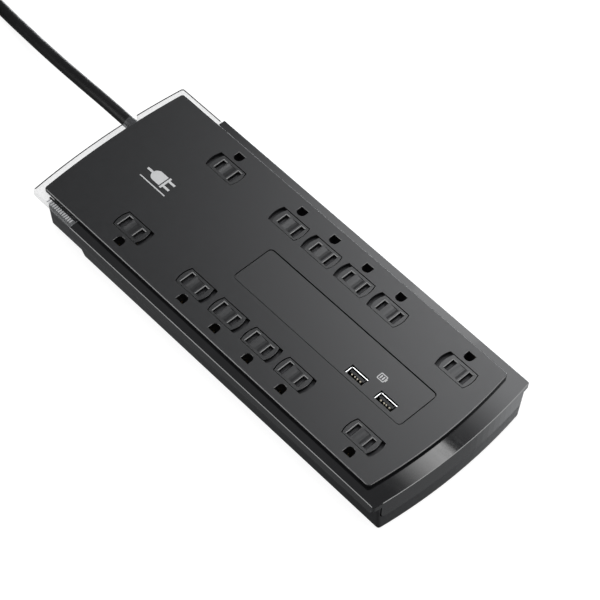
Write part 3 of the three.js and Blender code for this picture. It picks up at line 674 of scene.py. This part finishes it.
# ---------------------------------------------------------------- finishes on the CAD nodes
def finish_nodes():
    paint("face_plate", "face")
    paint("label_panel", "panel", 0.2 * MM)
    paint("bezel_frame", "gloss")
    paint("lower_housing", "housing", 0.35 * MM)
    paint("indicator_lens", "clear", 0.3 * MM)
    paint("switch_housing", "inner", 0.3 * MM)
    paint("switch_rocker", "gloss", 0.3 * MM)
    for side in ("left", "right"):
        for i in range(1, 7):
            paint(f"shutter_{side}_{i}", "shutter")
        paint(f"socket_carrier_{side}", "bed")
        for kind in ("line", "neutral", "ground"):
            paint(f"{kind}_bus_{side}", "brass")
    for i in (1, 2):
        paint(f"usb_shell_{i}", "steel")
        paint(f"usb_tongue_{i}", "inner", 0.1 * MM)
        paint(f"indicator_led_{i}", "clear")
    for kind in ("usb", "surge"):
        paint(f"{kind}_board", "board", 0.15 * MM)
    for i in (1, 2, 3):
        paint(f"varistor_{i}", "blue", 0.5 * MM, 3)
    paint("filter_capacitor", "yellow", 0.5 * MM, 3)
    paint("filter_choke", "ferrite")
    paint("thermal_fuse", "white", 0.3 * MM)
    for name in ("plug_blade_line", "plug_blade_neutral"):
        paint(name, "brass", 0.35 * MM, 3)
    paint("plug_ground_pin", "brass")
    for i in range(1, 7):
        paint(f"housing_screw_{i}", "steel", 0.12 * MM)
    for i in range(1, 5):
        paint(f"foot_{i}", "foot", 0.2 * MM)
    for piece in NODES.values():
        smooth(piece.data, 28)


# ---------------------------------------------------------------- floor and light
def make_floor():
    """A white floor that glows evenly, so that only the contact shadow shows on it."""
    bm = bmesh.new()
    bmesh.ops.create_grid(bm, x_segments=1, y_segments=1, size=6)
    mesh = bpy.data.meshes.new("floor")
    bm.to_mesh(mesh)
    bm.free()
    material, _, shader = new_material("floor_white", (0.24, 0.24, 0.24), 0.9, specular=0.1)
    shader.inputs["Emission Color"].default_value = (1, 1, 1, 1)
    shader.inputs["Emission Strength"].default_value = 0.86
    mesh.materials.append(material)
    floor = bpy.data.objects.new("floor", mesh)
    floor.visible_glossy = False  # the studio's surroundings are what the black plastic reflects
    bpy.context.scene.collection.objects.link(floor)


def fade(tree, value, start, end):
    """A smooth step from 0 at start to 1 at end, which may run either way."""
    node = tree.nodes.new("ShaderNodeMapRange")
    node.interpolation_type = "SMOOTHSTEP"
    node.inputs["From Min"].default_value = min(start, end)
    node.inputs["From Max"].default_value = max(start, end)
    node.inputs["To Min"].default_value = 0 if start < end else 1
    node.inputs["To Max"].default_value = 1 if start < end else 0
    tree.links.new(value, node.inputs["Value"])
    return node.outputs["Result"]


def maths(tree, operation, one, two):
    """A sum or product of two numbers or sockets."""
    node = tree.nodes.new("ShaderNodeMath")
    node.operation = operation
    for socket, value in zip(node.inputs, (one, two)):
        if isinstance(value, (int, float)):
            socket.default_value = value
        else:
            tree.links.new(value, socket)
    return node.outputs["Value"]


def lamp(name, spot, aim, size, radiance, glossy=True, soft=(), color=(1, 1, 1)):
    """A rectangular lamp that only shows in reflections or, where glossy is False, only lights matt surfaces.

    soft lists (axis, start, end): where its glow fades in across its face, from 0 to 1.
    """
    data = bpy.data.lights.new(name, "AREA")
    data.shape = "RECTANGLE"
    data.size, data.size_y = size
    data.energy = radiance * math.pi * size[0] * size[1]
    data.color = color
    if soft:
        data.use_nodes = True
        tree = data.node_tree
        place = tree.nodes.new("ShaderNodeNewGeometry")
        split = tree.nodes.new("ShaderNodeSeparateXYZ")
        tree.links.new(place.outputs["Parametric"], split.inputs["Vector"])
        glow = 1.0
        for axis, start, end in soft:
            glow = maths(tree, "MULTIPLY", glow, fade(tree, split.outputs[axis], start, end))
        tree.links.new(glow, tree.nodes["Emission"].inputs["Strength"])
    piece = bpy.data.objects.new(name, data)
    bpy.context.scene.collection.objects.link(piece)
    look = (Vector(aim) - Vector(spot)).to_track_quat("-Z", "Y").to_matrix().to_4x4()
    piece.matrix_world = Matrix.Translation(spot) @ look
    piece.visible_camera = False
    piece.visible_glossy = glossy
    piece.visible_diffuse = not glossy


def make_world():
    """The dim room that the black plastic reflects: paler above, and a white table below towards the right."""
    world = bpy.data.worlds.new("studio")
    world.use_nodes = True
    world.cycles_visibility.diffuse = False
    tree = world.node_tree
    place = tree.nodes.new("ShaderNodeTexCoord")
    split = tree.nodes.new("ShaderNodeSeparateXYZ")
    tree.links.new(place.outputs["Generated"], split.inputs["Vector"])
    up, side = split.outputs["Z"], split.outputs["X"]
    above = maths(tree, "ADD", maths(tree, "MULTIPLY", fade(tree, up, -0.3, 0.0), 0.25),
                  maths(tree, "MULTIPLY", fade(tree, up, 0.3, 0.6), 0.1))
    table = maths(tree, "ADD", maths(tree, "MULTIPLY", fade(tree, side, -0.2, 0.36), 0.08),
                  maths(tree, "MULTIPLY", fade(tree, side, 0.436, 0.521), 0.47))
    sheet = maths(tree, "MULTIPLY", fade(tree, side, 0.55, 0.7), fade(tree, up, -0.72, -0.6))
    table = maths(tree, "ADD", table, maths(tree, "MULTIPLY", sheet, 6.0))
    table = maths(tree, "ADD", table, 0.24)
    window = maths(tree, "MULTIPLY", fade(tree, up, -0.92, -0.85), fade(tree, up, 0.0, -0.3))
    total = maths(tree, "ADD", above, maths(tree, "MULTIPLY", table, window))
    total = maths(tree, "ADD", total, 0.02)
    back = tree.nodes["Background"]
    back.inputs["Color"].default_value = (0.96, 0.98, 1, 1)
    tree.links.new(total, back.inputs["Strength"])
    bpy.context.scene.world = world


def make_light():
    make_world()
    bank_tint = (0.97, 0.98, 1)
    # Broad light from above, kept out of the reflections.
    lamp("overhead", (0, 0, 2.4), (0, 0, 0), (3.4, 3.4), 2.95, glossy=False)
    # The large soft bank, in three overlapping parts, whose reflection brightens the plate towards the front right.
    lamp("side_bank", (1.15, 0.2, 1.23), (1.15, 0.2, 0), (1.1, 1.5), 3.75,
         soft=(("X", 0.0, 0.11), ("Y", 1.0, 0.69)), color=bank_tint)
    lamp("bank_core", (0.9, 0.44, 1.22), (0.9, 0.44, 0), (0.5, 0.11), 1.9, soft=(("X", 0.0, 0.3),))
    lamp("bank_far", (1.25, 0.2, 1.24), (1.25, 0.2, 0), (1.0, 1.5), 3.1,
         soft=(("X", 0.0, 0.15), ("Y", 1.0, 0.69)), color=bank_tint)
    # A narrow strip whose reflection crosses the front of the bezel.
    lamp("strip_light", (0.545, 0.3, 1.23), (0.545, 0.3, 0), (0.1, 0.22), 7.0, soft=(("X", 0.1, 0.95),))
    # Two low cards that draw the bright lines along the left and the front edges. From low behind, opposite the
    # front card, the plate mirrors it and turns white.
    for side, spot in (("left", (-0.97, 0.5, 0.5)), ("front", (0.48, -0.97, 0.5))):
        lamp(f"{side}_card", spot, (0, 0, 0.03), (0.7, 0.6), 7.0)


make_camera()
cord = make_cord()
make_tie()
make_boot()
plug = make_plug()
finish_nodes()
make_plug_mark()
make_charge_mark()
make_lens_ribs()
make_lens_edge_painted_shade()
for port in (1, 2):
    make_usb_contacts(port)
make_rocker_marks()
make_floor()
make_light()
bpy.context.scene.view_settings.view_transform = "Standard"
bpy.context.scene.view_settings.look = "None"
